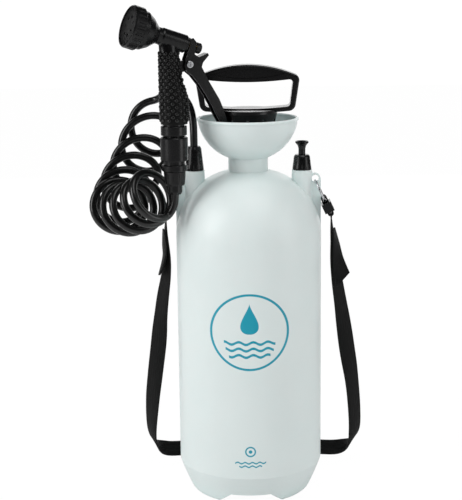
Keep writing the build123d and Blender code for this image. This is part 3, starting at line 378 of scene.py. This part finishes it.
# Metal: springs, pins and rings in bright steel, the valve stem in brass.
steel = Finish("bright_steel", (0.62, 0.63, 0.65), 0.22, metallic=1.0)
steel.rough(steel.noise(300.0, 4.0, (1.0, 1.0, 6.0)) * 0.22 + 0.14)
steel.bump(steel.noise(800.0, 2.0), 0.00003)
for name in ("relief_spring", "handle_pin", "pivot_screw", "pivot_nut", "valve_spring",
             "connector_spring", "strap_rings"):
    nodes[name].data.materials.clear()
    nodes[name].data.materials.append(steel.material)
brass = Finish("turned_brass", (0.70, 0.50, 0.20), 0.30, metallic=1.0)
brass.rough(brass.noise(500.0, 3.0) * 0.2 + 0.2)
nodes["valve_stem"].data.materials.clear()
nodes["valve_stem"].data.materials.append(brass.material)
plate = Finish("nozzle_plate", (0.010, 0.010, 0.010), 0.35, specular=0.4)
plate.rough(plate.noise(300.0) * 0.2 + 0.35)
plate.bump(plate.noise(1500.0), 0.0001)
nodes["nozzle_face"].data.materials.clear()
nodes["nozzle_face"].data.materials.append(plate.material)

# Strap: woven black webbing of 20 mm, from ring to ring round the back of the tank.
strap_half = 0.0090   # where it is held; it spreads to its full width below the sliders
strap_full = 0.0101
strap_thick = 0.0018
ring_place = {side: Matrix.Translation((side * 0.0825, 0.0, 0.3959)) @ Matrix.Rotation(
    radians(-25.0 * side), 4, "Y") for side in (-1, 1)}
loop_top = 0.02587
loop_length = 0.019
loop_mean_r = 0.0030
strap_stations = [
    ((0.1035, 0.0005, 0.333), (0.20, 1, 0)), ((0.1062, 0.003, 0.314), (0.43, 0.90, 0)),
    ((0.1077, 0.006, 0.292), (0.55, 0.83, 0)), ((0.1113, 0.011, 0.2643), (0.68, 0.73, 0)),
    ((0.1162, 0.015, 0.2333), (0.80, 0.60, 0)), ((0.1208, 0.020, 0.203), (0.94, 0.34, 0)),
    ((0.1256, 0.026, 0.1706), (1, 0.10, 0)), ((0.1325, 0.034, 0.1276), (0.86, 0.50, 0)),
    ((0.1370, 0.044, 0.0832), (0.80, 0.60, 0)), ((0.1380, 0.055, 0.0500), (0.70, 0.71, 0)),
    ((0.1335, 0.067, 0.0290), (0.25, 0.93, 0.2)), ((0.1180, 0.081, 0.0175), (-0.3, 0.80, 0.60)),
    ((0.096, 0.094, 0.0125), (-0.1, 0.6, 0.8)),
    ((0.060, 0.103, 0.012), (0, 0.5, 0.87)), ((0.020, 0.107, 0.012), (0, 0.5, 0.87)),
    ((-0.020, 0.107, 0.012), (0, 0.5, 0.87)), ((-0.060, 0.103, 0.012), (0, 0.5, 0.87)),
    ((-0.093, 0.094, 0.0125), (0.1, 0.6, 0.8)), ((-0.1135, 0.081, 0.0175), (0.3, 0.80, 0.60)),
    ((-0.1265, 0.067, 0.0290), (-0.25, 0.93, 0.2)), ((-0.1310, 0.056, 0.0520), (-0.58, 0.82, 0)),
    ((-0.1280, 0.041, 0.0980), (-0.86, 0.50, 0)), ((-0.1226, 0.030, 0.1398), (-0.97, 0.25, 0)),
    ((-0.1171, 0.022, 0.1798), (-1, 0.10, 0)), ((-0.1129, 0.016, 0.2186), (-0.84, 0.54, 0)),
    ((-0.1093, 0.012, 0.2458), (-0.74, 0.67, 0)), ((-0.1044, 0.008, 0.2754), (-0.58, 0.81, 0)),
    ((-0.1025, 0.005, 0.300), (-0.44, 0.90, 0)), ((-0.1030, 0.0005, 0.333), (-0.20, 1, 0))]
strap_tails = [  # loose ends, which hang beside the webbing out of the sliders, and the slant of their cut
    ([((0.1058, -0.0002, 0.333), (0.20, 1, 0)), ((0.1087, 0.002, 0.314), (0.43, 0.90, 0)),
      ((0.1116, 0.003, 0.294), (0.70, 0.71, 0)), ((0.1182, 0.001, 0.2687), (1, 0.10, 0.3))], -0.0065),
    ([((-0.1053, -0.0002, 0.333), (-0.20, 1, 0)), ((-0.1052, 0.003, 0.314), (-0.30, 0.95, 0)),
      ((-0.1062, 0.0035, 0.298), (-0.20, 0.98, 0)), ((-0.1128, 0.004, 0.276), (-0.06, 1, 0))], 0.0030)]
strap_ends = {side: ring_place[side] @ Vector((0, 0, -loop_top - loop_length - 0.0021)) for side in (-1, 1)}
strap_stations = ([(tuple(strap_ends[1]), (0, 1, 0))] + strap_stations
                  + [(tuple(strap_ends[-1]), (0, 1, 0))])


def strap_route(stations):
    """Rows of place, way of the width, and half width, eased through the stations."""
    rows = []
    for place_, width in stations:
        half = strap_half if place_[2] > 0.32 else strap_full
        rows.append((Vector(place_), Vector(width).normalized(), half))
    return [eased(rows, k / 10) for k in range(10 * (len(rows) - 1) + 1)]


def band(plan, path, closed=False, slant=0.0):
    """Flat band of webbing along rows of a route, its end cut at a slant; gives its length."""
    uv = plan.loops.layers.uv.verify()
    outline = [(-1, -0.55), (-0.97, -1), (0.97, -1), (1, -0.55), (1, 0.55), (0.97, 1), (-0.97, 1), (-1, 0.55)]
    rings = []
    length = 0.0
    marks = []
    for i, (spot, width, half) in enumerate(path):
        before = path[i - 1][0] if i or closed else spot
        after = path[(i + 1) % len(path)][0] if i < len(path) - 1 or closed else spot
        ahead = (after - before).normalized()
        across = (width - ahead * width.dot(ahead)).normalized()
        out = ahead.cross(across)
        lean = slant * max(0.0, i - len(path) + 6) / 5
        rings.append([plan.verts.new(spot + across * (a * half) + ahead * (a * lean)
                                     + out * (b * strap_thick / 2)) for a, b in outline])
        length += (spot - path[i - 1][0]).length if i else 0.0
        marks.append(length)
    count = len(path) if closed else len(path) - 1
    for i in range(count):
        j = (i + 1) % len(path)
        for k in range(len(outline)):
            m = (k + 1) % len(outline)
            face = plan.faces.new([rings[i][k], rings[i][m], rings[j][m], rings[j][k]])
            face.smooth = True
            ends = marks[i], marks[i] + (path[j][0] - path[i][0]).length
            for loop, (a, v) in zip(face.loops, ((k, ends[0]), (m, ends[0]), (m, ends[1]), (k, ends[1]))):
                loop[uv].uv = (outline[a][0] * strap_half, v)
    if not closed:
        plan.faces.new(list(reversed(rings[0])))
        plan.faces.new(rings[-1])
    return marks[-1] + ((path[0][0] - path[-1][0]).length if closed else 0.0)


strap_plan = bmesh.new()
strap_length = band(strap_plan, strap_route(strap_stations))
for tail, slant in strap_tails:
    strap_length += band(strap_plan, strap_route(tail), slant=slant)
for side in (-1, 1):
    ring_path = []
    for k in range(40):
        t = k / 40 * (2 * loop_length + 2 * pi * loop_mean_r)
        low = -loop_top - loop_length
        if t < loop_length:
            at = (loop_mean_r, low + t)
        elif t < loop_length + pi * loop_mean_r:
            a = (t - loop_length) / loop_mean_r
            at = (loop_mean_r * cos(a), -loop_top + loop_mean_r * sin(a))
        elif t < 2 * loop_length + pi * loop_mean_r:
            at = (-loop_mean_r, -loop_top - (t - loop_length - pi * loop_mean_r))
        else:
            a = (t - 2 * loop_length - pi * loop_mean_r) / loop_mean_r
            at = (-loop_mean_r * cos(a), low - loop_mean_r * sin(a))
        ring_path.append((ring_place[side] @ Vector((at[0], 0.0, at[1])), Vector((0.0, 1.0, 0.0)),
                          strap_half))
    strap_length += band(strap_plan, ring_path, closed=True)
bmesh.ops.recalc_face_normals(strap_plan, faces=strap_plan.faces)
strap_mesh = bpy.data.meshes.new("webbing")
strap_plan.to_mesh(strap_mesh)
strap_plan.free()
strap = bpy.data.objects.new("webbing", strap_mesh)
scene.collection.objects.link(strap)
webbing = Finish("webbing", (0.004, 0.004, 0.004), 0.75, specular=0.25)
lay = webbing.node("ShaderNodeUVMap", {"uv_map": strap_mesh.uv_layers[0].name})
thread = webbing.node("ShaderNodeSeparateXYZ", {}, [lay.outputs[0]])
across_web = Level(webbing, thread.outputs[0])
along_web = Level(webbing, thread.outputs[1])
weft = (along_web * 4200.0 + (across_web * 2400.0).math("SINE") * 1.3).math("SINE")
warp = (across_web * 2400.0).math("COSINE")
weave = weft * 0.5 + warp * 0.35 + 0.5
webbing.colour(webbing.mix(weave, (0.001, 0.001, 0.001), (0.006, 0.006, 0.006)))
webbing.rough(weave * 0.1 + 0.62)
webbing.bump(weave, 0.00022)
strap_mesh.materials.append(webbing.material)
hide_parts("strap_webbing")
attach(strap, "strap")

# Floor and light: a plain white studio, with the light from above left.
floor_mesh = bpy.data.meshes.new("floor")
plan = bmesh.new()
bmesh.ops.create_grid(plan, x_segments=1, y_segments=1, size=6.0)
plan.to_mesh(floor_mesh)
plan.free()
floor = bpy.data.objects.new("floor", floor_mesh)
scene.collection.objects.link(floor)
white = bpy.data.materials.new("floor")
white.use_nodes = True
tree = white.node_tree
tree.nodes.clear()
diffuse = tree.nodes.new("ShaderNodeBsdfDiffuse")
diffuse.inputs["Color"].default_value = (0.80, 0.80, 0.80, 1.0)
glow = tree.nodes.new("ShaderNodeEmission")
glow.inputs["Strength"].default_value = 1.02
glow.inputs["Color"].default_value = (1.0, 1.0, 1.0, 1.0)
path = tree.nodes.new("ShaderNodeLightPath")
seen = tree.nodes.new("ShaderNodeMath")
seen.operation = "MULTIPLY"
tree.links.new(path.outputs["Is Camera Ray"], seen.inputs[0])
seen.inputs[1].default_value = 0.96
blend_floor = tree.nodes.new("ShaderNodeMixShader")
out = tree.nodes.new("ShaderNodeOutputMaterial")
tree.links.new(seen.outputs[0], blend_floor.inputs[0])
tree.links.new(diffuse.outputs[0], blend_floor.inputs[1])
tree.links.new(glow.outputs[0], blend_floor.inputs[2])
tree.links.new(blend_floor.outputs[0], out.inputs["Surface"])
floor_mesh.materials.append(white)

world = bpy.data.worlds.new("studio")
scene.world = world
world.use_nodes = True
sky = world.node_tree
sky_glow = sky.nodes["Background"]
sky_path = sky.nodes.new("ShaderNodeLightPath")
any_seen = sky.nodes.new("ShaderNodeMath")
any_seen.operation = "MAXIMUM"
sky.links.new(sky_path.outputs["Is Camera Ray"], any_seen.inputs[0])
sky.links.new(sky_path.outputs["Is Transmission Ray"], any_seen.inputs[1])
strength = sky.nodes.new("ShaderNodeMath")
strength.operation = "MULTIPLY_ADD"
sky.links.new(any_seen.outputs[0], strength.inputs[0])
strength.inputs[1].default_value = 0.59
mirrored = sky.nodes.new("ShaderNodeMath")
mirrored.operation = "MULTIPLY_ADD"
sky.links.new(sky_path.outputs["Is Glossy Ray"], mirrored.inputs[0])
mirrored.inputs[1].default_value = -0.41
mirrored.inputs[2].default_value = 0.44
sky.links.new(mirrored.outputs[0], strength.inputs[2])
sky.links.new(strength.outputs[0], sky_glow.inputs["Strength"])
sky_glow.inputs["Color"].default_value = (1.0, 1.0, 1.0, 1.0)


def lamp(name, place, aim, size, power):
    """Soft rectangular studio lamp."""
    data = bpy.data.lights.new(name, "AREA")
    data.shape = "RECTANGLE"
    data.size = size[0]
    data.size_y = size[1]
    data.energy = power
    light = bpy.data.objects.new(name, data)
    light.location = place
    light.rotation_euler = (Vector(aim) - Vector(place)).to_track_quat("-Z", "Y").to_euler()
    light.visible_camera = False
    scene.collection.objects.link(light)


lamp("key", (-1.7, -0.9, 1.1), (0.0, 0.0, 0.3), (0.9, 1.6), 22.5)
lamp("fill", (1.6, -0.8, 0.7), (0.0, 0.0, 0.3), (0.7, 1.6), 7.5)
lamp("top", (0.3, -0.6, 1.8), (0.0, 0.0, 0.4), (0.9, 0.9), 6.0)
lamp("backdrop", (0.0, 2.4, 0.9), (0.0, 0.0, 0.4), (3.4, 1.8), 30.0)
scene.view_settings.view_transform = "Standard"
